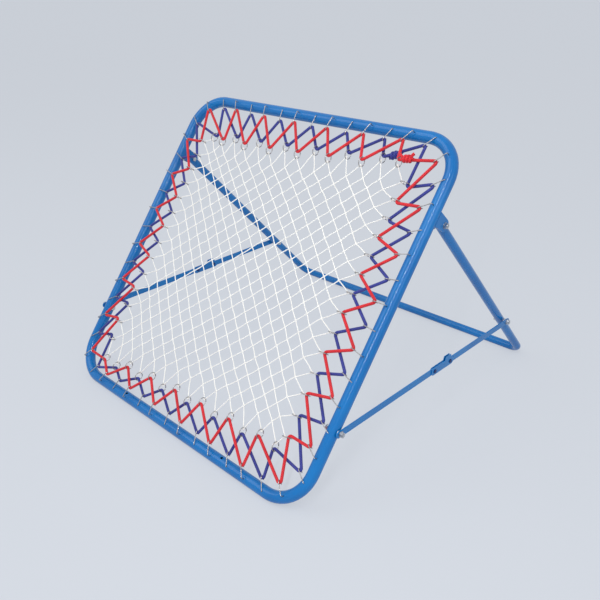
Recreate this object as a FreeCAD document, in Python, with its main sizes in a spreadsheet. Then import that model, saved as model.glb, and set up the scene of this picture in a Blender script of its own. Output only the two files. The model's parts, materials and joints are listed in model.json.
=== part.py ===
import FreeCAD, Part
import os
import Sketcher
from math import acos, asin, atan2, cos, degrees, hypot, pi, radians, sin, sqrt, tan

# Folding ball rebounder: a square bent tube leaning back on a folding U leg, a white
# net hung in it from 56 wire hooks and 56 rings by a red and a blue elastic cord.
# The origin is on the ground under the middle of the footprint, +X right, +Y back.

doc = FreeCAD.newDocument("rebounder")
sheet = doc.addObject("Spreadsheet::Sheet", "dims")

sizes = {
    # square frame
    "frame_size": 1000.0,
    "frame_bend": 100.0,
    "frame_tube_rad": 16.0,
    "tube_wall": 1.5,
    "frame_lean": 52.0,
    "drain_spot": 219.0,
    "drain_rad": 4.0,
    # folding rear leg
    "leg_tube_rad": 12.5,
    "leg_reach": 807.88,
    "leg_bend": 32.0,
    "leg_top_end": 12.0,
    "pivot_up": 775.0,
    "pivot_back": 45.0,
    # welded pivot brackets
    "ear_plate": 3.0,
    "ear_round": 16.0,
    "ear_foot": 19.0,
    "ear_play": 0.5,
    # folding struts
    "strut_low_up": 215.0,
    "strut_leg_down": 570.0,
    "bar_width": 18.0,
    "bar_plate": 3.0,
    "bar_gap": 0.3,
    "bar_standoff": 3.3,
    "bar_end_out": 14.0,
    "knee_tail": 56.0,
    "knee_butt": 4.0,
    "channel_plate": 2.0,
    "channel_before": 14.0,
    "channel_after": 94.0,
    "channel_web_start": 50.0,
    "channel_rivet": 74.0,
    "tab_start": 52.0,
    "tab_long": 24.0,
    "tab_tall": 10.0,
    "rivet_rad": 3.0,
    "rivet_head_rad": 5.5,
    "rivet_head_tall": 2.0,
    # bolts
    "bolt_rad": 4.0,
    "bolt_play": 0.05,
    "hex_corner_rad": 7.5,
    "head_tall": 5.3,
    "nut_tall": 6.5,
    "washer_rad": 8.0,
    "washer_tall": 1.6,
    "bolt_end_out": 1.5,
    # hooks and rings
    "hooks_per_side": 14.0,
    "hook_phase": 18.0,
    "hook_wire_rad": 1.25,
    "hook_hole_rad": 1.6,
    "hook_lift": 0.5,
    "hook_bend": 2.4,
    "hook_into": 4.0,
    "hook_tail": 5.0,
    "apex_reach": 33.0,
    "ring_mid_rad": 12.5,
    "ring_wire_rad": 1.25,
    "ring_mouth_deg": 12.0,
    # cords and net
    "cord_rad": 4.0,
    "fit_gap": 0.35,
    "cross_gap": 0.3,
    "ring_raise": 1.7,
    "ring_play": 0.55,
    "knot_long": 17.0,
    "knot_round": 11.0,
    "knot_rise": 6.8,
    "knot_back": 24.0,
    "knot_bite": 3.0,
    "net_margin": 105.0,
    "net_drop": 8.0,
    "net_aside": 3.0,
    "net_skew": 0.06,
    "net_bow": 8.0,
    "net_corner_cut": 16.0,
    "net_side_cut": 34.0,
    "net_right_drop": 8.0,
    "net_left_rise": 22.0,
    "right_belly": 16.0,
    "top_belly": 12.0,
    "left_belly": 20.0,
    "ring_stagger": 9.0,
    "twine_rad": 1.5,
    "twine_gap": 0.05,
    "seat_gap": 0.5,
}
for row, (alias, value) in enumerate(sizes.items(), start=1):
    sheet.set("A%d" % row, alias)
    sheet.set("B%d" % row, str(value))
    sheet.setAlias("B%d" % row, alias)
doc.recompute()


def size(alias):
    """A driving dimension, read back from the sheet."""
    return float(sheet.get(alias))


V = FreeCAD.Vector
X_AXIS, Y_AXIS, Z_AXIS = V(1, 0, 0), V(0, 1, 0), V(0, 0, 1)
made = []

# Places worked out from the driving sizes.
lean = radians(size("frame_lean"))
half_mid = size("frame_size") / 2 - size("frame_tube_rad")
net_half = half_mid - size("net_margin")
pivot_y = size("pivot_up") * cos(lean) + size("pivot_back") * sin(lean)
pivot_z = size("frame_tube_rad") + size("pivot_up") * sin(lean) - size("pivot_back") * cos(lean)
leg_drop = asin((pivot_z - size("leg_tube_rad")) / size("leg_reach"))
ground_bar_y = pivot_y + size("leg_reach") * cos(leg_drop)
middle_y = (ground_bar_y + size("leg_tube_rad") - size("frame_tube_rad")) / 2
strut_low_y = size("strut_low_up") * cos(lean)
strut_low_z = size("frame_tube_rad") + size("strut_low_up") * sin(lean)
strut_top_y = pivot_y + size("strut_leg_down") * cos(leg_drop)
strut_top_z = pivot_z - size("strut_leg_down") * sin(leg_drop)
strut_tilt = atan2(strut_top_z - strut_low_z, strut_top_y - strut_low_y)
half_strut = hypot(strut_top_y - strut_low_y, strut_top_z - strut_low_z) / 2
bar_x = half_mid + size("frame_tube_rad") + size("bar_standoff")

frame_place = FreeCAD.Placement(
    V(0, -middle_y, size("frame_tube_rad")), FreeCAD.Rotation(X_AXIS, size("frame_lean")))
leg_place = FreeCAD.Placement(
    V(0, pivot_y - middle_y, pivot_z), FreeCAD.Rotation(X_AXIS, -degrees(leg_drop)))
strut_low_place = FreeCAD.Placement(
    V(0, strut_low_y - middle_y, strut_low_z), FreeCAD.Rotation(X_AXIS, degrees(strut_tilt)))
knee_place = strut_low_place * FreeCAD.Placement(V(0, half_strut, 0), FreeCAD.Rotation())


def bind(obj, **links):
    """Ties properties of an object to cells of the sheet."""
    for prop, link in links.items():
        for alias in sorted(sizes, key=len, reverse=True):
            link = link.replace("#" + alias, "<<dims>>." + alias)
        obj.setExpression(prop, link)
    return obj


def primitive(kind, name, place=None, **links):
    """A Part primitive whose sizes follow the sheet."""
    obj = bind(doc.addObject("Part::" + kind, name), **links)
    if place:
        obj.Placement = place
    return obj


def fused(name, pieces):
    """One solid joined from several features."""
    obj = doc.addObject("Part::MultiFuse", name)
    obj.Shapes = pieces
    obj.Refine = True
    return obj


def cut(name, base, tool):
    """A feature less another one."""
    obj = doc.addObject("Part::Cut", name)
    obj.Base = base
    obj.Tool = tool
    return obj


def shaped(name, shape, place=None):
    """A feature whose shape is set here."""
    obj = doc.addObject("Part::Feature", name)
    obj.Shape = shape
    if place:
        obj.Placement = place
    return obj


def finish(node, obj, place=None):
    """Names a finished sub-part and sets its place."""
    obj.Label = node
    if place:
        obj.Placement = place
    made.append(obj)
    return obj


def along_x(side, x_start, place=None):
    """A place whose local Z runs outboard along X from x_start on that side."""
    turned = FreeCAD.Placement(V(side * x_start, 0, 0), FreeCAD.Rotation(Y_AXIS, 90 * side))
    return place * turned if place else turned


def plate_body(name, outline, circles, thickness):
    """A plate with its face normal to X: a sketched outline with round holes, padded."""
    body = doc.addObject("PartDesign::Body", name)
    sketch = body.newObject("Sketcher::SketchObject", name + "_sketch")
    plane = [f for f in body.Origin.OriginFeatures if f.Role == "YZ_Plane"][0]
    sketch.AttachmentSupport = (plane, [""])
    sketch.MapMode = "FlatFace"
    for edge in outline:
        sketch.addGeometry(edge, False)
    for y, z, alias, play in circles:
        radius = size(alias) + (size(play) if play else 0)
        number = sketch.addGeometry(Part.Circle(V(y, z, 0), Z_AXIS, radius), False)
        rule = sketch.addConstraint(Sketcher.Constraint("Radius", number, radius))
        link = "#" + alias + (" + #" + play if play else "")
        bind(sketch, **{"Constraints[%d]" % rule: link})
    pad = body.newObject("PartDesign::Pad", name + "_pad")
    pad.Profile = sketch
    bind(pad, Length=thickness)
    body.Tip = pad
    return body


def bar_outline(start, end, half):
    """A flat bar's outline: straight edges and half-round ends."""
    arc = Part.ArcOfCircle
    return [
        Part.LineSegment(V(start, half, 0), V(end, half, 0)),
        arc(Part.Circle(V(end, 0, 0), Z_AXIS, half), -pi / 2, pi / 2),
        Part.LineSegment(V(end, -half, 0), V(start, -half, 0)),
        arc(Part.Circle(V(start, 0, 0), Z_AXIS, half), pi / 2, 3 * pi / 2),
    ]


# Square frame tube

def frame_run(part_name, radius):
    """The whole rounded square as one round bar of the given radius."""
    pieces = []
    straight = "#frame_size - 2 * #frame_tube_rad - 2 * #frame_bend"
    corner = half_mid - size("frame_bend")
    for turn in range(4):
        spin = FreeCAD.Placement(V(0, half_mid, 0), FreeCAD.Rotation(Z_AXIS, 90 * turn))
        lay = FreeCAD.Placement(V(-corner, -half_mid, 0), FreeCAD.Rotation(Y_AXIS, 90))
        pieces.append(primitive("Cylinder", "%s_side%d" % (part_name, turn), spin * lay,
                                Radius=radius, Height=straight))
        bend = FreeCAD.Placement(V(corner, -corner, 0), FreeCAD.Rotation(Z_AXIS, -90))
        pieces.append(primitive("Torus", "%s_bend%d" % (part_name, turn), spin * bend,
                                Radius1="#frame_bend", Radius2=radius, Angle3="90"))
    return fused(part_name, pieces)


def perimeter_point(station):
    """Middle-line point and inward direction at a length along the rounded square."""
    straight = 2 * (half_mid - size("frame_bend"))
    bend = size("frame_bend") * pi / 2
    station = (station + straight / 2) % (4 * (straight + bend))
    turn, rest = divmod(station, straight + bend)
    corner = half_mid - size("frame_bend")
    if rest <= straight:
        point, inward = V(rest - corner, -half_mid, 0), V(0, 1, 0)
    else:
        angle = (rest - straight) / size("frame_bend")
        inward = V(-sin(angle), cos(angle), 0)
        point = V(corner, -corner, 0) - inward * size("frame_bend")
    spin = FreeCAD.Rotation(Z_AXIS, 90 * turn)
    return spin.multVec(point) + V(0, half_mid, 0), spin.multVec(inward)


side_hooks = int(size("hooks_per_side"))
hook_total = 4 * side_hooks
perimeter = 8 * (half_mid - size("frame_bend")) + 2 * pi * size("frame_bend")
hook_pitch = perimeter / hook_total
hook_spots = [perimeter_point(size("hook_phase") + (k + 0.5) * hook_pitch)
              for k in range(hook_total)]


def frame_hole_tools():
    """Cutters for the hook holes, the two strut bolts and the two drain holes."""
    tools = []
    for point, inward in hook_spots:
        tools.append(Part.makeCylinder(size("hook_hole_rad"), size("frame_tube_rad") + 2, point))
    for side in (-1, 1):
        start = V(side * (half_mid - size("frame_tube_rad") - 2), size("strut_low_up"), 0)
        tools.append(Part.makeCylinder(size("bolt_rad") + size("fit_gap"),
                                       2 * size("frame_tube_rad") + 4, start, X_AXIS * side))
        tools.append(Part.makeCylinder(size("drain_rad"), size("frame_tube_rad") + 2,
                                       V(side * size("drain_spot"), 0, 0), V(0, 1, 1)))
    return Part.makeCompound(tools)


outer_run = frame_run("frame_outer", "#frame_tube_rad")
inner_run = frame_run("frame_inner", "#frame_tube_rad - #tube_wall")
frame_shell = cut("frame_shell", outer_run, inner_run)
frame_holes = shaped("frame_holes", frame_hole_tools())
finish("frame_tube", cut("frame_tube_cut", frame_shell, frame_holes), frame_place)


# Pivot brackets: two round-nosed ears and a web, saddled on the back of each side tube

def bracket_ear(name, x_start):
    """One ear, its nose round the leg pivot and its foot on the tube's flank."""
    back, nose, foot = -size("pivot_back"), size("ear_round"), size("ear_foot")
    base = -size("frame_tube_rad") / 3
    span = hypot(foot, back - base)
    swing = atan2(foot, base - back) + acos(nose / span)
    tip = V(nose * sin(swing), back + nose * cos(swing), 0)
    mirrored = V(-tip.x, tip.y, 0)
    outline = [
        Part.LineSegment(V(-foot, base, 0), V(foot, base, 0)),
        Part.LineSegment(V(foot, base, 0), tip),
        Part.Arc(tip, V(0, back - nose, 0), mirrored),
        Part.LineSegment(mirrored, V(-foot, base, 0)),
    ]
    ear = plate_body(name, outline, [(0, back, "bolt_rad", "bolt_play")], "#ear_plate")
    ear.Placement = FreeCAD.Placement(V(x_start, size("pivot_up"), 0), FreeCAD.Rotation())
    return ear


ear_inner_gap = size("leg_tube_rad") + size("ear_play")
web_back = size("frame_tube_rad") + size("ear_plate")


def pivot_bracket(side, word):
    """A welded bracket with the leg's end between its ears."""
    middle = side * half_mid
    ears = [bracket_ear("ear_low_" + word, middle - ear_inner_gap - size("ear_plate")),
            bracket_ear("ear_high_" + word, middle + ear_inner_gap)]
    web_spot = V(middle - ear_inner_gap - size("fit_gap"), size("pivot_up") - size("ear_foot"), -web_back)
    web = primitive("Box", "web_" + word, FreeCAD.Placement(web_spot, FreeCAD.Rotation()),
                    Length="2 * (#leg_tube_rad + #ear_play + #fit_gap)", Width="2 * #ear_foot",
                    Height="#ear_plate + #frame_tube_rad / 2")
    whole = fused("bracket_whole_" + word, ears + [web])
    tube_spot = V(middle, size("pivot_up") - 2 * size("ear_foot"), 0)
    saddle = primitive("Cylinder", "saddle_" + word,
                       FreeCAD.Placement(tube_spot, FreeCAD.Rotation(X_AXIS, -90)),
                       Radius="#frame_tube_rad + #twine_gap", Height="4 * #ear_foot")
    finish("pivot_bracket_" + word, cut("bracket_cut_" + word, whole, saddle), frame_place)


# Rear leg: one U of thinner tube, its ends on the pivots and its bar on the ground

def leg_tube_body():
    """A hollow tube piped along the U, drawn in the leg's own plane from its left end."""
    body = doc.addObject("PartDesign::Body", "leg_body")
    planes = {f.Role: f for f in body.Origin.OriginFeatures}
    corner_x = half_mid - size("leg_bend")
    bar_y = size("leg_top_end") + size("leg_reach")
    corner_y = bar_y - size("leg_bend")
    spine = body.newObject("Sketcher::SketchObject", "leg_spine")
    spine.AttachmentSupport = (planes["XY_Plane"], [""])
    spine.MapMode = "FlatFace"

    def bend(middle_x, start, end):
        return Part.ArcOfCircle(Part.Circle(V(middle_x, corner_y, 0), Z_AXIS, size("leg_bend")),
                                start, end)
    for edge in (Part.LineSegment(V(-half_mid, 0, 0), V(-half_mid, corner_y, 0)),
                 bend(-corner_x, pi / 2, pi),
                 Part.LineSegment(V(-corner_x, bar_y, 0), V(corner_x, bar_y, 0)),
                 bend(corner_x, 0, pi / 2),
                 Part.LineSegment(V(half_mid, corner_y, 0), V(half_mid, 0, 0))):
        spine.addGeometry(edge, False)
    ring = body.newObject("Sketcher::SketchObject", "leg_section")
    ring.AttachmentSupport = (planes["XZ_Plane"], [""])
    ring.MapMode = "FlatFace"
    for radius, link in ((size("leg_tube_rad"), "#leg_tube_rad"),
                         (size("leg_tube_rad") - size("tube_wall"), "#leg_tube_rad - #tube_wall")):
        number = ring.addGeometry(Part.Circle(V(-half_mid, 0, 0), Z_AXIS, radius), False)
        rule = ring.addConstraint(Sketcher.Constraint("Radius", number, radius))
        bind(ring, **{"Constraints[%d]" % rule: link})
    pipe = body.newObject("PartDesign::AdditivePipe", "leg_pipe")
    pipe.Profile = ring
    pipe.Spine = (spine, [])
    body.Tip = pipe
    body.Placement = leg_place * FreeCAD.Placement(V(0, -size("leg_top_end"), 0),
                                                   FreeCAD.Rotation())
    return body


def leg_hole_tools():
    """Cutters for the pivot bolts and the strut bolts."""
    tools = []
    for side in (-1, 1):
        start = side * (half_mid - 2 * size("leg_tube_rad"))
        for down, play in ((0, size("bolt_play")), (size("strut_leg_down"), size("fit_gap"))):
            tools.append(Part.makeCylinder(size("bolt_rad") + play, 4 * size("leg_tube_rad"),
                                           V(start, down, 0), X_AXIS * side))
    return Part.makeCompound(tools)


leg_holes = shaped("leg_holes", leg_hole_tools(), leg_place)
finish("rear_leg_tube", cut("leg_cut", leg_tube_body(), leg_holes))


# Fasteners

def stacked(name, parts, side, place):
    """Round and six-sided lengths joined end to end outboard along X."""
    pieces = []
    for index, (kind, x_start, radius, length) in enumerate(parts):
        spot = along_x(side, x_start, place)
        piece_name = "%s_%d" % (name, index)
        if kind == "hex":
            pieces.append(primitive("Prism", piece_name, spot, Circumradius=radius, Height=length))
        else:
            pieces.append(primitive("Cylinder", piece_name, spot, Radius=radius, Height=length))
    return fused(name, pieces) if len(pieces) > 1 else pieces[0]


def pierced(name, kind, x_start, radius, length, side, place):
    """A washer, spacer or nut: a round or six-sided length with a bolt hole."""
    blank = stacked(name + "_blank", [(kind, x_start, radius, length)], side, place)
    hole = stacked(name + "_hole", [("round", x_start, "#bolt_rad + #bolt_play", length)], side, place)
    return cut(name, blank, hole)


def pair(node, left, right):
    """Two identical solids that share one node."""
    obj = doc.addObject("Part::Compound", node + "_pair")
    obj.Links = [left, right]
    finish(node, obj)


pivot_spot = leg_place
strut_top_spot = leg_place * FreeCAD.Placement(V(0, size("strut_leg_down"), 0), FreeCAD.Rotation())
strut_low_spot = frame_place * FreeCAD.Placement(V(0, size("strut_low_up"), 0), FreeCAD.Rotation())
ear_out_x = half_mid + ear_inner_gap + size("ear_plate")
ear_in_x = half_mid - ear_inner_gap - size("ear_plate")
bar_out_x = bar_x + size("bar_plate")
frame_in_x = half_mid - size("frame_tube_rad")
frame_out_x = half_mid + size("frame_tube_rad")
leg_in_x = half_mid - size("leg_tube_rad")
leg_out_x = half_mid + size("leg_tube_rad")
HEX, WASHER, SHANK = "#hex_corner_rad", "#washer_rad", "#bolt_rad"
nut_stack = "#washer_tall + #nut_tall + #bolt_end_out"
ear_grip = "2 * (#leg_tube_rad + #ear_play + #ear_plate)"


def pivot_fasteners(side, word):
    """The bolt, washer and nut that carry one end of the leg."""
    bolt = stacked("pivot_bolt_" + word, [
        ("hex", ear_in_x - size("head_tall"), HEX, "#head_tall"),
        ("round", ear_in_x, SHANK, ear_grip + " + " + nut_stack)], side, pivot_spot)
    washer = pierced("pivot_washer_" + word, "round", ear_out_x, WASHER, "#washer_tall",
                     side, pivot_spot)
    nut = pierced("pivot_nut_" + word, "hex", ear_out_x + size("washer_tall"), HEX, "#nut_tall",
                  side, pivot_spot)
    return bolt, washer, nut


def strut_low_fasteners(side, word):
    """The bolt through the side tube, its spacer, washer and nut."""
    bolt = stacked("low_bolt_" + word, [
        ("hex", frame_in_x - size("head_tall"), HEX, "#head_tall"),
        ("round", frame_in_x, SHANK,
         "2 * #frame_tube_rad + #bar_standoff + #bar_plate + #bar_gap + " + nut_stack)],
        side, strut_low_spot)
    spacer = pierced("low_spacer_" + word, "round", frame_out_x, WASHER,
                     "#bar_standoff - #bar_gap", side, strut_low_spot)
    washer_x = bar_out_x + size("bar_gap")
    washer = pierced("low_washer_" + word, "round", washer_x, WASHER, "#washer_tall",
                     side, strut_low_spot)
    nut = pierced("low_nut_" + word, "hex", washer_x + size("washer_tall"), HEX, "#nut_tall",
                  side, strut_low_spot)
    return bolt, spacer, washer, nut


def strut_top_fasteners(side, word):
    """The bolt and long spacer on the leg; the opened pivot ends at the spacer's face."""
    grip = "#leg_tube_rad + #frame_tube_rad + #bar_standoff - #bar_gap"
    bolt = stacked("top_bolt_" + word, [
        ("hex", leg_in_x - size("head_tall"), HEX, "#head_tall"),
        ("round", leg_in_x, SHANK, grip)], side, strut_top_spot)
    spacer = pierced("top_spacer_" + word, "round", leg_out_x, WASHER,
                     "#frame_tube_rad - #leg_tube_rad + #bar_standoff - #bar_gap",
                     side, strut_top_spot)
    return bolt, spacer


def strut_top_nut(side, word):
    """The threaded end, washer and nut outboard of the upper bar."""
    stud = stacked("top_stud_" + word, [
        ("round", bar_x, SHANK, "#bar_plate + " + nut_stack)], side, strut_top_spot)
    washer = pierced("top_washer_" + word, "round", bar_out_x, WASHER, "#washer_tall",
                     side, strut_top_spot)
    nut = pierced("top_nut_" + word, "hex", bar_out_x + size("washer_tall"), HEX, "#nut_tall",
                  side, strut_top_spot)
    group = doc.addObject("Part::Compound", "top_nut_set_" + word)
    group.Links = [stud, washer, nut]
    finish("strut_end_nut_" + word, group)


# Folding struts: two flat bars and a channel that catches the knee just straight

def lower_bar(side, word):
    """The bar from the side tube to the knee, with a tail that lands on the channel web."""
    half = size("bar_width") / 2
    outline = bar_outline(half - size("bar_end_out"), half_strut + size("knee_tail") - half, half)
    holes = [(0, 0, "bolt_rad", "bolt_play"), (half_strut, 0, "rivet_rad", "bolt_play")]
    body = plate_body("lower_bar_" + word, outline, holes, "#bar_plate")
    x_start = bar_x if side > 0 else -bar_out_x
    slide = FreeCAD.Placement(V(x_start, 0, 0), FreeCAD.Rotation())
    finish("lower_strut_bar_" + word, body, strut_low_place * slide)


def upper_bar(side, word):
    """The bar from the knee channel to the leg."""
    half = size("bar_width") / 2
    start = size("knee_tail") + size("knee_butt")
    outline = bar_outline(start + half, half_strut + size("bar_end_out") - half, half)
    holes = [(size("channel_rivet"), 0, "rivet_rad", "bolt_play"),
             (half_strut, 0, "bolt_rad", "bolt_play")]
    body = plate_body("upper_bar_" + word, outline, holes, "#bar_plate")
    x_start = bar_x if side > 0 else -bar_out_x
    slide = FreeCAD.Placement(V(x_start, 0, 0), FreeCAD.Rotation())
    finish("upper_strut_bar_" + word, body, knee_place * slide)


def knee_channel(side, word):
    """Two flanges with finger tabs, joined below by the web that stops the knee."""
    half = size("bar_width") / 2 + size("channel_plate")
    low_x = side * (bar_x + size("bar_plate") / 2) - size("bar_plate") / 2 - size("bar_gap")
    high_x = low_x + size("bar_plate") + 2 * size("bar_gap")
    before, after = -size("channel_before"), size("channel_after")
    tab_a, tab_b = size("tab_start"), size("tab_start") + size("tab_long")
    top, slope = half + size("tab_tall"), size("tab_tall") / 3
    points = [(before, -half / 2), (before + half / 2, -half), (after - half, -half), (after, -half / 3),
              (after, half / 2), (tab_b + half / 2, half), (tab_b + slope, half), (tab_b, top),
              (tab_a, top), (tab_a - slope, half), (before + half / 2, half), (before, half / 2)]
    corners = [V(y, z, 0) for y, z in points]
    outline = [Part.LineSegment(a, b) for a, b in zip(corners, corners[1:] + corners[:1])]
    rivet_holes = [(0, 0, "rivet_rad", "bolt_play"), (size("channel_rivet"), 0, "rivet_rad", "bolt_play")]
    flanges = []
    for tag, x_start in (("low", low_x - size("channel_plate")), ("high", high_x)):
        flange = plate_body("flange_%s_%s" % (tag, word), outline, rivet_holes, "#channel_plate")
        flange.Placement = FreeCAD.Placement(V(x_start, 0, 0), FreeCAD.Rotation())
        flanges.append(flange)
    web_spot = V(low_x - size("channel_plate"), size("channel_web_start"), -half - size("bar_gap"))
    web = primitive("Box", "knee_web_" + word, FreeCAD.Placement(web_spot, FreeCAD.Rotation()),
                    Length="#bar_plate + 2 * #bar_gap + 2 * #channel_plate",
                    Width="#channel_after - #channel_web_start - #bar_width / 2 - #channel_plate",
                    Height="#channel_plate")
    finish("knee_channel_" + word, fused("knee_whole_" + word, flanges + [web]), knee_place)


def knee_rivets(side, word):
    """The pivot rivet and the fixing rivet of one knee, heads on both flanges."""
    reach = size("bar_plate") / 2 + size("bar_gap") + size("channel_plate")
    middle = bar_x + size("bar_plate") / 2
    rivets = []
    for tag, along in (("pivot", 0), ("fixed", size("channel_rivet"))):
        spot = knee_place * FreeCAD.Placement(V(0, along, 0), FreeCAD.Rotation())
        rivets.append(stacked("rivet_%s_%s" % (tag, word), [
            ("round", middle - reach - size("rivet_head_tall"), "#rivet_head_rad", "#rivet_head_tall"),
            ("round", middle - reach, "#rivet_rad",
             "#bar_plate + 2 * #bar_gap + 2 * #channel_plate"),
            ("round", middle + reach, "#rivet_head_rad", "#rivet_head_tall")], side, spot))
    group = doc.addObject("Part::Compound", "rivet_set_" + word)
    group.Links = rivets
    finish("knee_rivets_" + word, group)


# Everything that comes as a left and a right one

pivot_sets, low_sets, top_sets = [], [], []
for side, word in ((-1, "left"), (1, "right")):
    pivot_bracket(side, word)
    lower_bar(side, word)
    upper_bar(side, word)
    knee_channel(side, word)
    knee_rivets(side, word)
    strut_top_nut(side, word)
    pivot_sets.append(pivot_fasteners(side, word))
    low_sets.append(strut_low_fasteners(side, word))
    top_sets.append(strut_top_fasteners(side, word))
for node, sets, index in (
        ("leg_pivot_bolts", pivot_sets, 0), ("leg_pivot_washers", pivot_sets, 1),
        ("leg_pivot_nuts", pivot_sets, 2), ("strut_frame_bolts", low_sets, 0),
        ("strut_frame_spacers", low_sets, 1), ("strut_frame_washers", low_sets, 2),
        ("strut_frame_nuts", low_sets, 3), ("strut_leg_bolts", top_sets, 0),
        ("strut_leg_spacers", top_sets, 1)):
    pair(node, sets[0][index], sets[1][index])


# Net corners and rings

wire = size("hook_wire_rad")
wrap = size("cord_rad") + wire + size("fit_gap")
shank_n = size("frame_tube_rad") + size("hook_lift") + wire
cord_lift = 2 * size("cord_rad") + size("cross_gap")
cord_n = (shank_n - wrap + cord_lift, shank_n - wrap)


def swept(edges, radius):
    """A round bar of the given radius along joined edges."""
    path = Part.Wire(edges)
    first = edges[0]
    start = first.valueAt(first.FirstParameter)
    tangent = first.tangentAt(first.FirstParameter)
    profile = Part.Wire([Part.makeCircle(radius, start, tangent)])
    return path.makePipeShell([profile], True, False)


def net_corner(number):
    """Where the net's corner of this number is."""
    side, index = divmod(number, side_hooks)
    half_run = net_half - size("net_side_cut" if side else "net_corner_cut")
    share = 2 * index / (side_hooks - 1) - 1
    belly = 1 - share ** 2
    slide = (0, belly * size("right_belly") - size("net_right_drop"),
             belly * (1 + share) * size("top_belly"),
             -belly * size("left_belly") - size("net_left_rise"))[side]
    inset = size("net_bow") * belly
    if side % 2 == 0 and abs(share) < 1:
        inset += size("ring_stagger") * (-1 if number % 2 else 1)
    spin = FreeCAD.Rotation(Z_AXIS, 90 * side)
    flat = spin.multVec(V(share * half_run + slide, inset - net_half, 0))
    skewed = V(flat.x, flat.y + flat.x * size("net_skew"), 0)
    return skewed + V(-size("net_aside"), half_mid - size("net_drop"), sum(cord_n) / 2)


corners = [net_corner(number) for number in range(hook_total)]


def ring_seat(number):
    """The way a ring stands out from its corner, and how far out its middle is."""
    corner = corners[number]
    one = (corner - corners[2 * side_hooks - 1 - number]).normalize()
    two = (corner - corners[hook_total - 1 - number]).normalize()
    half = one.getAngle(two) / 2
    beside = size("twine_rad") + wire + size("seat_gap")
    return (one + two).normalize(), size("ring_mid_rad") - beside / sin(half)


seats = [ring_seat(number) for number in range(hook_total)]


def ring_middle(ring):
    """A ring's centre, just outward of its net corner and toward its cord's plane."""
    outward, away = seats[ring]
    raised = size("ring_raise") * (-1 if ring % 2 else 1)
    return corners[ring] + outward * away + Z_AXIS * raised


def ring_shape(ring):
    """An open wire ring across the line of the net's edge, its mouth at the back."""
    outward = seats[ring][0]
    mouth = size("ring_mouth_deg")
    half_turn = Part.makeTorus(size("ring_mid_rad"), size("ring_wire_rad"), V(0, 0, 0), Z_AXIS,
                               0, 360, 360 - mouth)
    across = outward.cross(Z_AXIS)
    frame = FreeCAD.Matrix(-Z_AXIS.x, outward.x, across.x, 0, -Z_AXIS.y, outward.y, across.y, 0,
                           -Z_AXIS.z, outward.z, across.z, 0, 0, 0, 0, 1)
    place = FreeCAD.Placement(frame)
    place.Base = ring_middle(ring)
    half_turn.Placement = place
    return half_turn


finish("net_rings", shaped("rings", Part.makeCompound(
    [ring_shape(ring) for ring in range(hook_total)])), frame_place)


# Wire hooks, each swung in the frame's plane toward the ring it faces

ring_lead = side_hooks // 2


def hook_way(number):
    """The way a hook points: toward the ring it faces."""
    middle = ring_middle((number + ring_lead) % hook_total)
    way = middle - hook_spots[number][0]
    return V(way.x, way.y, 0).normalize()


def hook_shape(number, height):
    """A wire from its hole in the tube, bent inward and curled round the cord."""
    point, way = hook_spots[number][0], hook_way(number)

    def at(reach, height):
        return point + way * reach + Z_AXIS * height
    bend, curl, reach = size("hook_bend"), wrap, size("apex_reach")
    low, side_way = height, bend * (1 - cos(pi / 4))
    inside = size("frame_tube_rad") - size("hook_into")
    line = lambda a, b: Part.LineSegment(a, b).toShape()
    arc = lambda a, m, b: Part.Arc(a, m, b).toShape()
    edges = [
        line(at(0, inside), at(0, low - bend)),
        arc(at(0, low - bend), at(side_way, low - side_way), at(bend, low)),
        line(at(bend, low), at(reach, low)),
        arc(at(reach, low), at(reach + curl, low - curl), at(reach, low - 2 * curl)),
        line(at(reach, low - 2 * curl), at(reach - size("hook_tail"), low - 2 * curl)),
    ]
    return swept(edges, wire)


finish("frame_hooks", shaped("hooks", Part.makeCompound(
    [hook_shape(number, shank_n + cord_lift * ((number + 1) % 2))
     for number in range(hook_total)])), frame_place)


# Net: straight twines both ways, one layer on the other, meeting at the rings

def twine(start, end, layer):
    """One twine between two net corners, in the upper or lower layer."""
    lift = Z_AXIS * layer * (size("twine_rad") + size("twine_gap"))
    way = end - start
    return Part.makeCylinder(size("twine_rad"), way.Length, start + lift, way)


def net_twines():
    """Every twine: each corner sends one each way, so each pair is made once."""
    twines = []
    for index in range(side_hooks):
        facing = side_hooks - 1 - index
        bottom, right = corners[index], corners[side_hooks + facing]
        top, left = corners[2 * side_hooks + index], corners[3 * side_hooks + facing]
        twines.append(twine(bottom, right, 1))
        twines.append(twine(top, left, 1))
        twines.append(twine(bottom, corners[4 * side_hooks - 1 - index], -1))
        twines.append(twine(top, corners[2 * side_hooks - 1 - index], -1))
    return Part.makeCompound(twines)


finish("net", shaped("net_mesh", net_twines()), frame_place)


# Elastic cords: each runs ring, hook, ring, and the red one passes over the blue one

def cord_stations(parity):
    """The circles that one cord bends round in turn, each with the side it passes on."""
    drift = cord_n[parity] - ring_middle(parity).z
    round_ring = wrap + size("ring_play")
    inside = sqrt((size("ring_mid_rad") - round_ring) ** 2 - drift ** 2)
    stations = []
    for step in range(hook_total):
        ring = (2 * side_hooks + parity + step) % hook_total
        if step % 2 == 0:
            spot, side = ring_middle(ring) + seats[ring][0] * (inside + round_ring), -1
            radius = round_ring
        else:
            number = (ring - ring_lead) % hook_total
            spot = hook_spots[number][0] + hook_way(number) * (size("apex_reach") + wrap)
            side, radius = 1, wrap
        stations.append((V(spot.x, spot.y, cord_n[parity]), side, radius))
    return stations


def cord_arms(stations):
    """The straight run from each circle to the next, as its two ends and its way."""
    arms = []
    for (one, side, radius), (two, _, other) in zip(stations, stations[1:] + stations[:1]):
        way = two - one
        turn = side * asin((radius + other) / way.Length)
        way = FreeCAD.Rotation(Z_AXIS, degrees(turn)).multVec(way.normalize())
        right = V(way.y, -way.x, 0) * side
        arms.append((one + right * radius, two - right * other, way))
    return arms


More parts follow.
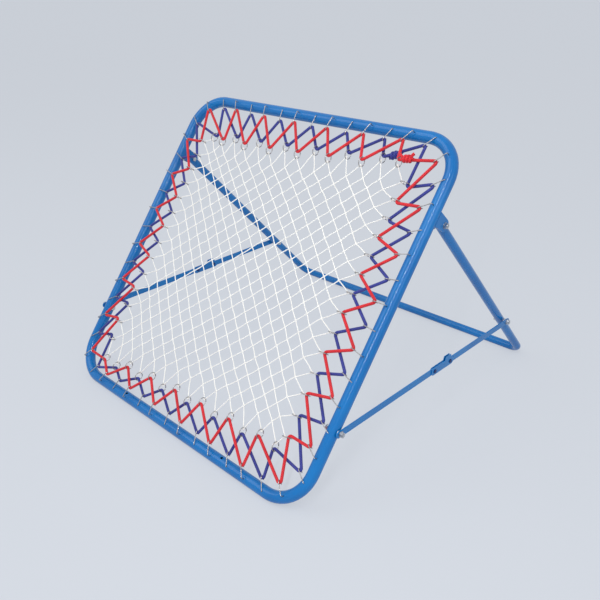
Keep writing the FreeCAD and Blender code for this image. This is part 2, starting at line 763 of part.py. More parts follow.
def knot_middle(arms):
    """Where the cord's two ends meet: on its last run, short of the ring."""
    _, end, way = arms[-1]
    return end - way * size("knot_back"), way


def cord_shape(parity):
    """The cord from its knot, round every ring and hook in turn, back to its knot."""
    stations = cord_stations(parity)
    arms = cord_arms(stations)
    middle, way = knot_middle(arms)
    edges, last = [], middle + way * size("knot_bite")
    for (spot, _, radius), (_, end, one), (start, _, two) in zip(
            stations, arms[-1:] + arms[:-1], arms):
        crown = spot + (one - two).normalize() * radius
        edges.append(Part.LineSegment(last, end).toShape())
        edges.append(Part.Arc(end, crown, start).toShape())
        last = start
    edges.append(Part.LineSegment(last, middle - way * size("knot_bite")).toShape())
    return swept(edges, size("cord_rad"))


def knot_shape(parity, over):
    """A plain egg of the knot's outer size, long along its cord."""
    middle, way = knot_middle(cord_arms(cord_stations(parity)))
    place = FreeCAD.Placement(middle + Z_AXIS * over * size("knot_rise"),
                              FreeCAD.Rotation(Z_AXIS, degrees(atan2(way.y, way.x))))
    return primitive("Ellipsoid", "knot%d" % parity, place, Angle1="-90", Angle2="90",
                     Radius1="#knot_round", Radius2="#knot_long", Radius3="#knot_round",
                     Angle3="360")


for word, parity, over in (("red", 0, 1), ("blue", 1, -1)):
    finish(word + "_cord", shaped(word + "_cord_run", cord_shape(parity)), frame_place)
    knot = knot_shape(parity, over)
    finish(word + "_cord_knot", knot, frame_place * knot.Placement)


doc.recompute()
for obj in doc.Objects:
    if any(word in obj.State for word in ("Invalid", "Error")):
        raise RuntimeError("failed feature: " + obj.Label)
os.makedirs("parts", exist_ok=True)
for obj in made:
    shape = obj.Shape
    if shape.isNull() or not shape.isValid() or not shape.Solids:
        raise RuntimeError("bad shape: " + obj.Label)
    shape.exportStep("parts/%s.step" % obj.Label)
    box = shape.BoundBox
    print("%-24s %3d solids %10.0f mm3  x %.0f..%.0f y %.0f..%.0f z %.1f..%.0f" % (
        obj.Label, len(shape.Solids), shape.Volume, box.XMin, box.XMax, box.YMin, box.YMax,
        box.ZMin, box.ZMax))
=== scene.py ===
import json
import bpy
import numpy as np
from mathutils import Matrix


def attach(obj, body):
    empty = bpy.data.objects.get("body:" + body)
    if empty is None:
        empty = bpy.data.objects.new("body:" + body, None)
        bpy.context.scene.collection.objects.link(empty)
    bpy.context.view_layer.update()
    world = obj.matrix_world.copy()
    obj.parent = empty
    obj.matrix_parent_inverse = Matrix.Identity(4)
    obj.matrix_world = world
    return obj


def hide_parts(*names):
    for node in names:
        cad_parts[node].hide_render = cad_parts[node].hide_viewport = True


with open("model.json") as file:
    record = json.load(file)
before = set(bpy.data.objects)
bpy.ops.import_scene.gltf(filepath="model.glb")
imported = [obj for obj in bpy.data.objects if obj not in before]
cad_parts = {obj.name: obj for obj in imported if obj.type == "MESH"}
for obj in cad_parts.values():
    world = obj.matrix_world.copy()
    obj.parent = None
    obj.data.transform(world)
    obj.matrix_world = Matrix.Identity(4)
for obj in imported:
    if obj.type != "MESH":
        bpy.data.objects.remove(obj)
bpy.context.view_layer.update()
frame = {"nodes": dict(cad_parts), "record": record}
print("frame loaded")

# The square leans back: x across it, v up along it, n out of its front face, all in metres.
# v starts at the middle of the bottom tube.
lean = {"degrees": 52.0, "tubeRadius": 0.016, "footToMiddle": 0.532345, "halfSide": 0.484,
        "cornerBend": 0.100}


def toFrame(points):
    # turns (x, v, n) about the bottom tube by the lean, then moves the square onto the ground
    points = np.asarray(points, float)
    c, s = np.cos(np.radians(lean["degrees"])), np.sin(np.radians(lean["degrees"]))
    x, v, n = points[..., 0], points[..., 1], points[..., 2]
    return np.stack([x, v * c - n * s - lean["footToMiddle"], lean["tubeRadius"] + v * s + n * c], -1)


faceNormal = toFrame([0, 0, 1]) - toFrame([0, 0, 0])


# Materials

def colour(hexText):
    # sRGB hex to linear: divide by 12.92 near black, else the 2.4 power of (c + 0.055) / 1.055
    c = np.array([int(hexText[i:i + 2], 16) for i in (1, 3, 5)]) / 255
    return (*np.where(c <= 0.04045, c / 12.92, ((c + 0.055) / 1.055) ** 2.4), 1)


def addNode(tree, kind, links=None, **settings):
    # settings whose names are input numbers or names go to the sockets, the rest to the node
    node = tree.nodes.new(kind)
    for key, value in settings.items():
        setattr(node, key, value)
    for socket, value in (links or {}).items():
        if isinstance(value, bpy.types.NodeSocket):
            tree.links.new(value, node.inputs[socket])
        else:
            node.inputs[socket].default_value = value
    return node


def newMaterial(name):
    material = bpy.data.materials.new(name)
    material.use_nodes = True
    tree = material.node_tree
    return material, tree, tree.nodes["Principled BSDF"]


def ramp(tree, factor, stops):
    # from the first stop's colour to the second's; a stop is a place and a hex colour
    node = addNode(tree, "ShaderNodeValToRGB", {0: factor})
    for end, (place, hexText) in zip(node.color_ramp.elements, stops):
        end.position, end.color = place, colour(hexText)
    return node.outputs[0]


def powderCoat(name, thin, full, roughness):
    # Epoxy powder baked on steel: glossy, with the faint orange peel of a flowed coat, about
    # 6 mm between its swells, and a little thinner and lighter in broad drifts.
    material, tree, shader = newMaterial(name)
    place = addNode(tree, "ShaderNodeTexCoord").outputs["Object"]
    drift = addNode(tree, "ShaderNodeTexNoise", {"Vector": place, "Scale": 9.0, "Detail": 3.0})
    peel = addNode(tree, "ShaderNodeTexNoise", {"Vector": place, "Scale": 170.0, "Detail": 1.0})
    speck = addNode(tree, "ShaderNodeTexNoise", {"Vector": place, "Scale": 900.0, "Detail": 2.0})
    tree.links.new(ramp(tree, drift.outputs[0], [(0.3, full), (0.7, thin)]), shader.inputs["Base Color"])
    gloss = addNode(tree, "ShaderNodeMapRange", {
        "Value": speck.outputs[0], "From Min": 0.35, "From Max": 0.7,
        "To Min": roughness, "To Max": roughness + 0.09})
    tree.links.new(gloss.outputs[0], shader.inputs["Roughness"])
    bump = addNode(tree, "ShaderNodeBump", {"Height": peel.outputs[0], "Strength": 0.10,
                                            "Distance": 0.0004})
    tree.links.new(bump.outputs[0], shader.inputs["Normal"])
    shader.inputs["IOR"].default_value = 1.52
    shader.inputs["Specular IOR Level"].default_value = 0.28
    shader.inputs["Coat Weight"].default_value = 0.22
    shader.inputs["Coat Roughness"].default_value = 0.05
    return material


def treatedSteel(name, light, dark, roughness, grain):
    # Zinc plated or blued on cold formed steel: slightly cloudy, with a fine drawn grain.
    material, tree, shader = newMaterial(name)
    place = addNode(tree, "ShaderNodeTexCoord").outputs["Object"]
    cloud = addNode(tree, "ShaderNodeTexNoise", {"Vector": place, "Scale": 260.0, "Detail": 4.0})
    drawn = addNode(tree, "ShaderNodeTexNoise", {"Vector": place, "Scale": grain, "Detail": 2.0})
    tree.links.new(ramp(tree, cloud.outputs[0], [(0.3, dark), (0.65, light)]), shader.inputs["Base Color"])
    dull = addNode(tree, "ShaderNodeMapRange", {
        "Value": cloud.outputs[0], "From Min": 0.3, "From Max": 0.7,
        "To Min": roughness + 0.14, "To Max": roughness})
    tree.links.new(dull.outputs[0], shader.inputs["Roughness"])
    bump = addNode(tree, "ShaderNodeBump", {"Height": drawn.outputs[0], "Strength": 0.15,
                                            "Distance": 0.0002})
    tree.links.new(bump.outputs[0], shader.inputs["Normal"])
    shader.inputs["Metallic"].default_value = 1.0
    return material


def strandWave(tree, uv, along, around):
    # one family of strands: the sine of whole turns along the cord plus whole turns round it
    parts = addNode(tree, "ShaderNodeSeparateXYZ", {0: uv})
    run = addNode(tree, "ShaderNodeMath", {0: parts.outputs[0], 1: along * 2 * np.pi},
                  operation="MULTIPLY")
    turn = addNode(tree, "ShaderNodeMath", {0: parts.outputs[1], 1: around * 2 * np.pi},
                   operation="MULTIPLY")
    both = addNode(tree, "ShaderNodeMath", {0: run.outputs[0], 1: turn.outputs[0]}, operation="ADD")
    return addNode(tree, "ShaderNodeMath", {0: both.outputs[0]}, operation="SINE").outputs[0]


def braidedSheath(name, bright, deep, paintedValleyShade):
    # Braided polyester sheath over rubber: two families of strands cross, 6 mm along the cord
    #     for one turn of the braid's diamonds, with painted shade darkening the valleys between and a soft
    #     sheen on top.
    material, tree, shader = newMaterial(name)
    uv = addNode(tree, "ShaderNodeUVMap", uv_map="strands").outputs[0]
    one = strandWave(tree, uv, 1.0, 5.0)
    two = strandWave(tree, uv, 1.0, -5.0)
    crown = addNode(tree, "ShaderNodeMath", {0: one, 1: two}, operation="MAXIMUM").outputs[0]
    place = addNode(tree, "ShaderNodeTexCoord").outputs["Object"]
    fuzz = addNode(tree, "ShaderNodeTexNoise", {"Vector": place, "Scale": 1400.0, "Detail": 3.0})
    drift = addNode(tree, "ShaderNodeTexNoise", {"Vector": place, "Scale": 25.0, "Detail": 2.0})
    height = addNode(tree, "ShaderNodeMath", {0: fuzz.outputs[0], 1: 0.35, 2: crown},
                     operation="MULTIPLY_ADD").outputs[0]
    dye = ramp(tree, drift.outputs[0], [(0.3, deep), (0.7, bright)])
    low = addNode(tree, "ShaderNodeMapRange", {"Value": height, "From Min": -0.7, "From Max": 0.75})
    # painted shade: where the height is low, between the strands, the dye gives way to the darker valley
    # colour
    mixed = addNode(tree, "ShaderNodeMix", {0: low.outputs[0], 6: colour(paintedValleyShade), 7: dye}, data_type="RGBA")
    tree.links.new(mixed.outputs[2], shader.inputs["Base Color"])
    bump = addNode(tree, "ShaderNodeBump", {"Height": height, "Strength": 0.45, "Distance": 0.0006})
    tree.links.new(bump.outputs[0], shader.inputs["Normal"])
    shader.inputs["Roughness"].default_value = 0.62
    shader.inputs["IOR"].default_value = 1.48
    shader.inputs["Sheen Weight"].default_value = 0.25
    shader.inputs["Sheen Roughness"].default_value = 0.4
    return material


def laidTwine(name, light, shade):
    # Laid polyethylene twine: three plies twisted together, one turn in 7 mm, off-white.
    material, tree, shader = newMaterial(name)
    uv = addNode(tree, "ShaderNodeUVMap", uv_map="strands").outputs[0]
    ply = strandWave(tree, uv, 1.0, 3.0)
    place = addNode(tree, "ShaderNodeTexCoord").outputs["Object"]
    fuzz = addNode(tree, "ShaderNodeTexNoise", {"Vector": place, "Scale": 1800.0, "Detail": 2.0})
    height = addNode(tree, "ShaderNodeMath", {0: fuzz.outputs[0], 1: 0.4, 2: ply},
                     operation="MULTIPLY_ADD").outputs[0]
    low = addNode(tree, "ShaderNodeMapRange", {"Value": height, "From Min": -0.9, "From Max": 0.6})
    mixed = addNode(tree, "ShaderNodeMix", {0: low.outputs[0], 6: colour(shade), 7: colour(light)},
                    data_type="RGBA")
    tree.links.new(mixed.outputs[2], shader.inputs["Base Color"])
    bump = addNode(tree, "ShaderNodeBump", {"Height": height, "Strength": 0.3, "Distance": 0.0004})
    tree.links.new(bump.outputs[0], shader.inputs["Normal"])
    shader.inputs["Roughness"].default_value = 0.6
    shader.inputs["IOR"].default_value = 1.5
    return material


finishes = {
    "blue_tube": powderCoat("gloss blue powder coat on tube", "#0A74BC", "#0766AC", 0.13),
    "blue_strut": powderCoat("gloss blue powder coat on flat bar", "#0B78BE", "#086BB1", 0.22),
    "zinc_fastener": treatedSteel("bright zinc on bolts and nuts", "#D3D5D8", "#A3A6AC", 0.22, 900.0),
    "zinc_wire": treatedSteel("zinc on drawn wire", "#C9C6C4", "#8F8B89", 0.30, 1500.0),
    "dark_rivet": treatedSteel("blued steel rivets", "#3A4F8C", "#25355F", 0.34, 900.0),
    "net_twine": laidTwine("laid white polyethylene twine", "#FFFEFA", "#EFEDE6"),
    # the last colour of each sheath is painted shade for the valleys between its strands
    "red_elastic": braidedSheath("red braided polyester sheath", "#EE2530", "#D81B29", "#9C0F1C"),
    "blue_elastic": braidedSheath("navy braided polyester sheath", "#3A42A0", "#2D348A", "#1B205C"),
}
for part in frame["record"]["subparts"]:
    for place in frame["nodes"][part["node"]].material_slots:
        place.material = finishes[part["material_slot"]]
print("materials assigned")


# Shapes

def tubesAlong(name, paths, radius, sides, pitch):
    # Each path carries a circle: its point plus radius times (cos a * side + sin a * rise), where
    # side is square to the path and to the face normal. The strands map is length over pitch
    # by turn round the path. Each end is closed by a fan.
    spots, faces, maps, first = [], [], [], 0
    turn = np.linspace(0, 2 * np.pi, sides, endpoint=False)
    for path in paths:
        path = np.asarray(path, float)
        count = len(path)
        way = np.gradient(path, axis=0)
        way /= np.linalg.norm(way, axis=1, keepdims=True)
        side = np.cross(way, faceNormal)
        side /= np.linalg.norm(side, axis=1, keepdims=True)
        rise = np.cross(side, way)
        wide = np.broadcast_to(np.asarray(radius(count) if callable(radius) else radius, float), (count,))
        ring = (np.cos(turn)[None, :, None] * side[:, None] + np.sin(turn)[None, :, None] * rise[:, None])
        grid = path[:, None] + ring * wide[:, None, None]
        spots += [grid.reshape(-1, 3), path[[0, -1]]]
        i, j = np.meshgrid(np.arange(count - 1), np.arange(sides), indexing="ij")
        k = (j + 1) % sides
        quads = np.stack([i * sides + j, i * sides + k, (i + 1) * sides + k, (i + 1) * sides + j], -1)
        run = np.concatenate([[0], np.cumsum(np.linalg.norm(np.diff(path, axis=0), axis=1))]) / pitch
        u = np.stack([run[i], run[i], run[i + 1], run[i + 1]], -1)
        v = np.stack([j, j + 1, j + 1, j], -1) / sides
        faces += [first + face for face in quads.reshape(-1, 4)]
        maps.append(np.stack([u, v], -1).reshape(-1, 2))
        edge, after = np.arange(sides), (np.arange(sides) + 1) % sides
        low = np.stack([edge * 0 + count * sides, after, edge], -1)
        high = np.stack([edge * 0 + count * sides + 1, edge + (count - 1) * sides,
                         after + (count - 1) * sides], -1)
        faces += [first + face for face in np.concatenate([low, high])]
        maps.append(np.tile([[run[-1] / 2, 0.5]], (6 * sides, 1)))
        first += count * sides + 2
    return buildPiece(name, np.concatenate(spots), faces, np.concatenate(maps))


def buildPiece(name, spots, faces, uv):
    mesh = bpy.data.meshes.new(name)
    mesh.from_pydata(np.asarray(spots).tolist(), [], [face.tolist() for face in faces])
    mesh.uv_layers.new(name="strands").data.foreach_set("uv", np.asarray(uv, np.float32).ravel())
    mesh.polygons.foreach_set("use_smooth", np.ones(len(mesh.polygons), bool))
    mesh.update()
    piece = bpy.data.objects.new(name, mesh)
    bpy.context.scene.collection.objects.link(piece)
    return piece


def dress(piece, node, slotName):
    piece.data.materials.append(finishes[slotName])
    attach(piece, "frame")
    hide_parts(node)


# Hooks and rings: the places that the cords and the net hang from

lacing = {"perSide": 14, "phase": 0.018, "apexReach": 0.033, "shankN": 0.01775, "wrap": 0.0056,
          "cordRadius": 0.004, "cordLift": 0.0083, "ringRadius": 0.0125,
          "ringRaise": 0.0017, "ringPlay": 0.00055, "seatBeside": 0.00325,
          "netHalf": 0.379, "bottomRun": 0.363, "sideRun": 0.345, "slide": (0, -0.008, 0, -0.022),
          "belly": (0, 0.016, 0.012, -0.020), "netDrop": 0.008, "netAside": 0.003, "netSkew": 0.06,
          "bow": 0.008, "stagger": 0.009}
total = 4 * lacing["perSide"]
cordN = [lacing["shankN"] - lacing["wrap"] + lacing["cordLift"], lacing["shankN"] - lacing["wrap"]]


def hookSpots():
    # equal steps along the rounded square's middle line: a straight run, then a quarter bend,
    # four times over
    corner, bend = lean["halfSide"] - lean["cornerBend"], lean["cornerBend"]
    straight, quarter = 2 * corner, lean["cornerBend"] * np.pi / 2
    step = 4 * (straight + quarter) / total
    station = lacing["phase"] + (np.arange(total) + 0.5) * step + straight / 2
    station %= 4 * (straight + quarter)
    side, rest = np.divmod(station, straight + quarter)
    angle = np.maximum(rest - straight, 0) / bend
    bent = [corner, -corner] + np.stack([np.sin(angle), -np.cos(angle)], -1) * bend
    onStraight = np.stack([rest - corner, 0 * rest - lean["halfSide"]], -1)
    spots = np.where(rest[:, None] <= straight, onStraight, bent)
    c, s = np.cos(side * np.pi / 2), np.sin(side * np.pi / 2)
    spin = np.stack([np.stack([c, -s], -1), np.stack([s, c], -1)], -2)
    return np.einsum("kij,kj->ki", spin, spots) + [0, lean["halfSide"]]


def netCorners():
    # evenly along each side of the net's square, bowed inward, every second one of the bottom and
    # the top set in, then sheared upward to the right
    number = np.arange(total)
    side, index = np.divmod(number, lacing["perSide"])
    share = 2 * index / (lacing["perSide"] - 1) - 1
    belly = 1 - share ** 2
    swing = np.where(number % 2 == 0, 1, -1)
    stagger = np.where((side % 2 == 0) & (abs(share) < 1), swing, 0) * lacing["stagger"]
    run = share * np.where(side == 0, lacing["bottomRun"], lacing["sideRun"])
    run = run + np.array(lacing["slide"])[side]
    run += belly * np.array(lacing["belly"])[side] * np.where(side == 2, 1 + share, 1)
    flat = np.stack([run, lacing["bow"] * belly + stagger - lacing["netHalf"]], -1)
    c, s = np.cos(side * np.pi / 2), np.sin(side * np.pi / 2)
    spin = np.stack([np.stack([c, -s], -1), np.stack([s, c], -1)], -2)
    flat = np.einsum("kij,kj->ki", spin, flat)
    flat[:, 1] += flat[:, 0] * lacing["netSkew"] + lean["halfSide"] - lacing["netDrop"]
    return flat - [lacing["netAside"], 0]


def unit(ways):
    return ways / np.linalg.norm(ways, axis=-1, keepdims=True)


def ringSeats():
    # a ring stands out along the line that halves its two twines, just clear of both:
    # its middle is its radius less the clear width over the sine of half their angle
    number = np.arange(total)
    one = unit(corners - corners[(2 * lacing["perSide"] - 1 - number) % total])
    two = unit(corners - corners[(total - 1 - number) % total])
    half = np.arccos((one * two).sum(-1)) / 2
    return unit(one + two), lacing["ringRadius"] - lacing["seatBeside"] / np.sin(half)


hooks = hookSpots()
corners = netCorners()
cornerOut, ringAway = ringSeats()
ringRaised = np.where(np.arange(total) % 2 == 0, 1, -1) * lacing["ringRaise"] + sum(cordN) / 2
ringMiddles = corners + cornerOut * ringAway[:, None]
ringOfHook = (np.arange(total) + lacing["perSide"] // 2) % total
hookOfRing = (np.arange(total) - lacing["perSide"] // 2) % total
hookWay = unit(ringMiddles[ringOfHook] - hooks)


# Net: laid twine, knotted at every crossing, hanging back a little in its middle

net = {"twineRadius": 0.00160, "barSteps": 5, "sides": 6, "twistPitch": 0.007, "sag": 0.012, "slip": 0.004,
       "edgePull": 0.55, "wander": 0.0006, "knotSize": (0.0034, 0.0034, 0.0028),
       "cornerKnot": (0.0036, 0.0036, 0.0030)}


def hung(flat):
    # depth falls as (1 - a^2)(1 - b^2) over the net's square, and short sines let the meshes wander
    x, v = flat[..., 0], flat[..., 1]
    a = (x + lacing["netAside"]) / lacing["netHalf"]
    b = (v - x * lacing["netSkew"] - lean["halfSide"] + lacing["netDrop"]) / lacing["netHalf"]
    share = np.clip(1 - a ** 2, 0, 1) * np.clip(1 - b ** 2, 0, 1)
    loose = net["wander"] * np.clip(share * 8, 0, 1)
    dx = loose * (np.sin(61 * x + 83 * v) + np.sin(127 * v - 44 * x + 1.0))
    dv = loose * (np.sin(71 * x - 59 * v + 2.0) + np.sin(113 * x + 37 * v))
    n = sum(cordN) / 2 - net["sag"] * share + 0.8 * loose * np.sin(53 * x - 97 * v)
    return toFrame(np.stack([x + dx, v + dv - net["slip"] * share, n], -1))


def twineEnds():
    # from bottom corner i one twine rises right and one left; the same down from the top
    i = np.arange(lacing["perSide"])
    rising = [(i, 2 * lacing["perSide"] - 1 - i), (2 * lacing["perSide"] + i, total - 1 - i)]
    falling = [(i, total - 1 - i), (2 * lacing["perSide"] + i, 2 * lacing["perSide"] - 1 - i)]
    return [(np.concatenate([a for a, _ in family]), np.concatenate([b for _, b in family]))
            for family in (rising, falling)]


def knottedMesh(one, two):
    # Lines of the two families cross at shares s and t of their lengths, by the ratio of cross
    # products. Each crossing is a knot, and then every knot settles at the mean of its four
    # neighbours, a corner counting less than a knot, so the meshes even out away from the edge.
    a, d = corners[one[0]][:, None], (corners[one[1]] - corners[one[0]])[:, None]
    b, e = corners[two[0]][None], (corners[two[1]] - corners[two[0]])[None]
    flat = d[..., 0] * e[..., 1] - d[..., 1] * e[..., 0]
    gap = b - a
    with np.errstate(divide="ignore", invalid="ignore"):
        s = (gap[..., 0] * e[..., 1] - gap[..., 1] * e[..., 0]) / flat
        t = (gap[..., 0] * d[..., 1] - gap[..., 1] * d[..., 0]) / flat
    inside = (s > 0.001) & (s < 0.999) & (t > 0.001) & (t < 0.999)
    count = int(inside.sum())
    number = np.zeros(inside.shape, int)
    number[inside] = np.arange(count)
    paths = []
    for ends, shares, inRow, ids in ((one, s, inside, number), (two, t.T, inside.T, number.T)):
        for row in range(len(shares)):
            met = np.flatnonzero(inRow[row])
            order = ids[row, met[np.argsort(shares[row, met])]]
            paths.append(np.concatenate([[count + ends[0][row]], order, [count + ends[1][row]]]))
    bars = np.concatenate([np.stack([path[:-1], path[1:]], -1) for path in paths])
    pull = np.where((bars < count).all(axis=1), 1.0, net["edgePull"])
    tie = np.zeros((count + total, count + total))
    np.add.at(tie, (bars[:, 0], bars[:, 1]), pull)
    tie += tie.T
    settle = np.diag(tie.sum(axis=1)) - tie
    knots = np.linalg.solve(settle[:count, :count], tie[:count, count:] @ corners)
    return np.concatenate([knots, corners]), paths, count


def knotLumps(name, places, size):
    # a small ball with eight by five faces at each place, squashed to size, its surface pushed
    # in and out by sines of its two angles so that it reads as turns of twine
    across, down = np.arange(8) * np.pi / 4, np.arange(1, 5) * np.pi / 5
    a, d = np.meshgrid(across, down)
    swell = 1 + 0.16 * np.sin(2 * a + 2 * d) * np.sin(d)
    ball = np.stack([np.cos(a) * np.sin(d), np.sin(a) * np.sin(d), np.cos(d)], -1) * swell[..., None]
    ball = np.concatenate([ball.reshape(-1, 3), [[0, 0, 1], [0, 0, -1]]]) * size
    i, j = np.meshgrid(np.arange(3), np.arange(8), indexing="ij")
    k = (j + 1) % 8
    quads = np.stack([i * 8 + j, (i + 1) * 8 + j, (i + 1) * 8 + k, i * 8 + k], -1).reshape(-1, 4)
    edge, after = np.arange(8), (np.arange(8) + 1) % 8
    caps = np.concatenate([np.stack([edge, after, edge * 0 + 32], -1),
                           np.stack([after + 24, edge + 24, edge * 0 + 33], -1)])
    local = toFrame(ball) - toFrame([0, 0, 0])
    spots = (places[:, None] + local[None]).reshape(-1, 3)
    base = np.arange(len(places))[:, None, None] * len(ball)
    faces = list((quads[None] + base).reshape(-1, 4)) + list((caps[None] + base).reshape(-1, 3))
    loops = 4 * len(quads) * len(places) + 3 * len(caps) * len(places)
    uv = np.stack([np.arange(loops) % 7 / 7, np.arange(loops) % 5 / 5], -1)
    return buildPiece(name, spots, faces, uv)


meshSpots, meshPaths, knotCount = knottedMesh(*twineEnds())
twines = []
for path in meshPaths:
    along = np.arange((len(path) - 1) * net["barSteps"] + 1) / net["barSteps"]
    bent = [np.interp(along, np.arange(len(path)), meshSpots[path, axis]) for axis in (0, 1)]
    twines.append(hung(np.stack(bent, -1)))
netTwines = tubesAlong("net_twines", twines, net["twineRadius"], net["sides"], net["twistPitch"])
dress(netTwines, "net", "net_twine")
netKnots = knotLumps("net_knots", hung(meshSpots[:knotCount]), net["knotSize"])
dress(netKnots, "net", "net_twine")
cornerKnots = knotLumps("net_corner_knots", hung(corners), net["cornerKnot"])
dress(cornerKnots, "net", "net_twine")
print("net made,", len(twines), "twines and", knotCount, "knots")


# Elastic cords: each runs ring, hook, ring, hook, all the way round, and ends in a knot

cords = {"sides": 16, "strandPitch": 0.006, "step": 0.006, "arcSteps": 10,
         "knotBack": 0.024, "knotBite": 0.003}
knots = {"rise": 0.0068, "turns": 3.0, "firstAngle": 0.6, "swing": 0.0068, "flare": 2.4, "long": 0.0245,
         "strandReach": 0.0195, "innerReach": 0.013, "innerSway": 0.0035, "innerSide": 0.0042,
         "innerRise": 0.0045, "tail": 0.020, "tailStart": 0.010}


def cordCircles(parity):
    # the circles that the cord bends round: the rings' outer wires and the hooks' curls
    drift = cordN[parity] - ringRaised[parity]
    roundRing = lacing["wrap"] + lacing["ringPlay"]
    inside = np.sqrt((lacing["ringRadius"] - roundRing) ** 2 - drift ** 2)
    ring = (2 * lacing["perSide"] + parity + np.arange(total)) % total
    hook = hookOfRing[ring]
    atRing = ringMiddles[ring] + cornerOut[ring] * (inside + roundRing)
    atHook = hooks[hook] + hookWay[hook] * (lacing["apexReach"] + lacing["wrap"])
    odd = np.arange(total) % 2 == 1
    radii = np.where(odd, lacing["wrap"], roundRing)
    return np.where(odd[:, None], atHook, atRing), radii, np.where(odd, 1, -1)


def cordArms(parity):
    # straight runs that touch each pair of circles from inside; the turn from the line between
    # two middles is the arcsine of both radii over their distance
    middles, radii, sides = cordCircles(parity)
    gap = np.roll(middles, -1, axis=0) - middles
    heading = np.arctan2(gap[:, 1], gap[:, 0]) + sides * np.arcsin(
        (radii + np.roll(radii, -1)) / np.linalg.norm(gap, axis=1))
    right = np.stack([np.sin(heading), -np.cos(heading)], -1) * sides[:, None]
    stops = np.roll(middles, -1, axis=0) - right * np.roll(radii, -1)[:, None]
    return heading, middles + right * radii[:, None], stops


def knotPlace(parity):
    # on the last run, short of the ring that the cord starts from
    heading, _, stops = cordArms(parity)
    way = np.array([np.cos(heading[-1]), np.sin(heading[-1])])
    return stops[-1] - way * cords["knotBack"], way


def straightRun(start, stop):
    count = max(2, int(np.linalg.norm(stop - start) / cords["step"]))
    return start + (stop - start) * np.linspace(0, 1, count)[1:-1, None]


def cordPath(parity):
    middles, radii, sides = cordCircles(parity)
    heading, starts, stops = cordArms(parity)
    knot, way = knotPlace(parity)
    last = knot + way * cords["knotBite"]
    runs = [last[None]]
    for number in range(total):
        runs.append(straightRun(last, stops[number - 1]))
        low = heading[number - 1] - sides[number] * np.pi / 2
        sweep = (heading[number] - heading[number - 1]) * sides[number] % (2 * np.pi) * sides[number]
        angle = low + sweep * np.linspace(0, 1, cords["arcSteps"])
        runs.append(middles[number] + radii[number] * np.stack([np.cos(angle), np.sin(angle)], -1))
        last = starts[number]
    end = knot - way * cords["knotBite"]
    flat = np.concatenate([*runs, straightRun(last, end), end[None]])
    return np.column_stack([flat, np.full(len(flat), cordN[parity])])


def knotPaths(parity):
    # A winding of three turns round the tied strands: a helix that closes on its axis at both
    # ends, the strands themselves as an arch from one cord end to the other, and two tails.
    over = 1 if parity == 0 else -1
    place, way = knotPlace(parity)
    middle = np.append(place, cordN[parity] + over * knots["rise"])
    axis, outward, up = np.append(way, 0), np.array([way[1], -way[0], 0]), np.array([0, 0, 1.0])
    t = np.linspace(0, 1, 110)[:, None]
    swing = np.minimum(1, np.sin(np.pi * t) * knots["flare"]) * knots["swing"]
    angle = 2 * np.pi * knots["turns"] * t + knots["firstAngle"]
    helix = (middle + axis * (t - 0.5) * knots["long"] + outward * swing * np.cos(angle)
             + up * swing * np.sin(angle))
    s = np.linspace(-1, 1, 40)[:, None]
    strands = (np.append(place, cordN[parity]) + axis * s * knots["strandReach"]
               + up * over * knots["rise"] * (1 - np.clip(abs(s), 0, 1) ** 3))
    second = (middle - axis * knots["innerSway"] * np.sin(s * 5) + axis * s * knots["innerReach"]
              + outward * knots["innerSide"] * np.cos(s * 2.4 + 0.5)
              + up * over * knots["innerRise"] * np.cos(s * 1.4))
    r = np.linspace(0, 1, 24)[:, None]
    tails = [middle + axis * along * (knots["tailStart"] + knots["tail"] * 0.5 * r)
             + outward * aside * knots["tail"] * r + up * over * (0.003 + 0.004 * np.sin(r * 2))
             for along, aside in ((1, 0.45), (-1, 0.55))]
    return [toFrame(path) for path in (helix, strands, second, *tails)]


for parity, word in ((0, "red"), (1, "blue")):
    cord = tubesAlong(word + "_braided_cord", [toFrame(cordPath(parity))], lacing["cordRadius"],
                      cords["sides"], cords["strandPitch"])
    dress(cord, word + "_cord", word + "_elastic")
    knot = tubesAlong(word + "_tied_knot", knotPaths(parity), lacing["cordRadius"], cords["sides"],
                      cords["strandPitch"])
    dress(knot, word + "_cord_knot", word + "_elastic")
print("cords and knots made")


# Floor, light and camera

studio = {"floor": "#D3D8E0", "floorReach": 30, "floorGlow": 0.72, "sky": "#F1F3F6", "skyStrength": 0.70}
lamps = {  # place, aim, power in watts, width and height
    "key softbox": ((-1.8, -2.4, 3.6), (0, 0, 0.4), 40.0, 3.0, 3.0),
    "fill softbox": ((3.2, -0.6, 2.2), (0, 0.1, 0.3), 12.0, 2.0, 1.6),
    "strip over the front": ((1.2, -1.6, 2.2), (0.4, 0, 0.4), 24.0, 0.05, 1.8)}
view = {"sensor": 36.0, "lens": 41.461, "shiftX": 0.0549, "shiftY": 0.0287, "farthest": 100,
        "place": (1.34989, -1.42152, 1.18758),
        # the camera's right, up and backward directions
        "axes": [[0.69603, 0.717473, -0.027819], [-0.314685, 0.339647, 0.886348],
                 [0.64538, -0.608171, 0.462183]]}


def seesBackdrop(tree):
    # one for camera, mirror and glass rays, which see the plain backdrop, and else nought
    rays = addNode(tree, "ShaderNodeLightPath").outputs
    mirrored = addNode(tree, "ShaderNodeMath", {0: rays["Is Glossy Ray"], 1: rays["Is Transmission Ray"]},
                       operation="MAXIMUM")
    return addNode(tree, "ShaderNodeMath", {0: rays["Is Camera Ray"], 1: mirrored.outputs[0]},
                   operation="MAXIMUM").outputs[0]


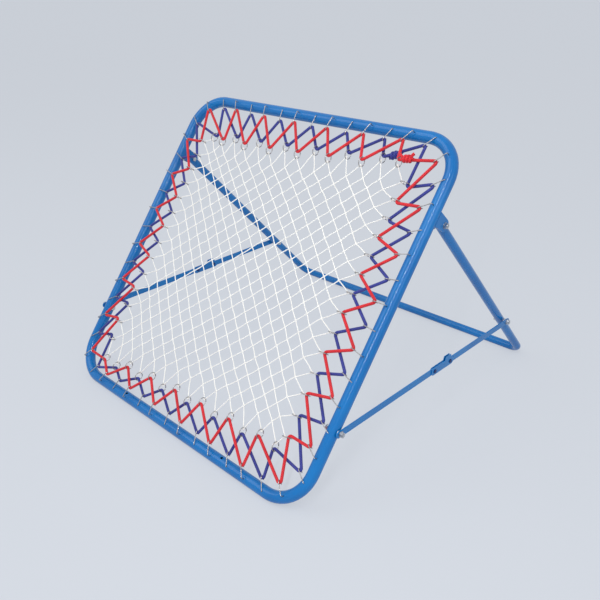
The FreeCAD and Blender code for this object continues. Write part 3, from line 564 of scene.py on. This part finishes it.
def addFloor():
    mesh = bpy.data.meshes.new("floor")
    r = studio["floorReach"]
    mesh.from_pydata([(-r, -r, 0), (r, -r, 0), (r, r, 0), (-r, r, 0)], [], [(0, 1, 2, 3)])
    floor = bpy.data.objects.new("floor", mesh)
    bpy.context.scene.collection.objects.link(floor)
    material, tree, shader = newMaterial("pale matt floor")
    shader.inputs["Base Color"].default_value = colour(studio["floor"])
    shader.inputs["Roughness"].default_value = 0.9
    share = addNode(tree, "ShaderNodeMath", {0: seesBackdrop(tree), 1: studio["floorGlow"]},
                    operation="MULTIPLY").outputs[0]
    glow = addNode(tree, "ShaderNodeEmission", {0: colour(studio["floor"])})
    mixed = addNode(tree, "ShaderNodeMixShader", {0: share, 1: shader.outputs[0], 2: glow.outputs[0]})
    tree.links.new(mixed.outputs[0], tree.nodes["Material Output"].inputs[0])
    mesh.materials.append(material)


def addSky():
    world = bpy.data.worlds.new("studio")
    bpy.context.scene.world = world
    world.use_nodes = True
    tree = world.node_tree
    soft = tree.nodes["Background"]
    soft.inputs[0].default_value = colour(studio["sky"])
    soft.inputs[1].default_value = studio["skyStrength"]
    plain = addNode(tree, "ShaderNodeBackground", {0: colour(studio["floor"]), 1: 1.0})
    mixed = addNode(tree, "ShaderNodeMixShader", {0: seesBackdrop(tree), 1: soft.outputs[0],
                                                 2: plain.outputs[0]})
    tree.links.new(mixed.outputs[0], tree.nodes["World Output"].inputs[0])


def addLamp(name, place, aim, power, wide, tall):
    data = bpy.data.lights.new(name, "AREA")
    data.shape, data.size, data.size_y, data.energy = "RECTANGLE", wide, tall, power
    lamp = bpy.data.objects.new(name, data)
    back = np.array(place, float) - aim
    back /= np.linalg.norm(back)
    side = np.cross([0, 0, 1], back)
    side /= np.linalg.norm(side)
    turn = np.eye(4)
    turn[:3, 0], turn[:3, 1], turn[:3, 2], turn[:3, 3] = side, np.cross(back, side), back, place
    lamp.matrix_world = Matrix(turn.tolist())
    bpy.context.scene.collection.objects.link(lamp)


def addCamera():
    data = bpy.data.cameras.new("camera")
    data.sensor_width, data.lens = view["sensor"], view["lens"]
    data.shift_x, data.shift_y = view["shiftX"], view["shiftY"]
    data.clip_end = view["farthest"]
    camera = bpy.data.objects.new("camera", data)
    turn = np.eye(4)
    turn[:3, :3], turn[:3, 3] = np.array(view["axes"]).T, view["place"]
    camera.matrix_world = Matrix(turn.tolist())
    bpy.context.scene.collection.objects.link(camera)
    bpy.context.scene.camera = camera


addFloor()
addSky()
for name, (place, aim, power, wide, tall) in lamps.items():
    addLamp(name, place, aim, power, wide, tall)
addCamera()
bpy.context.scene.view_settings.view_transform = "Standard"
print("studio set")
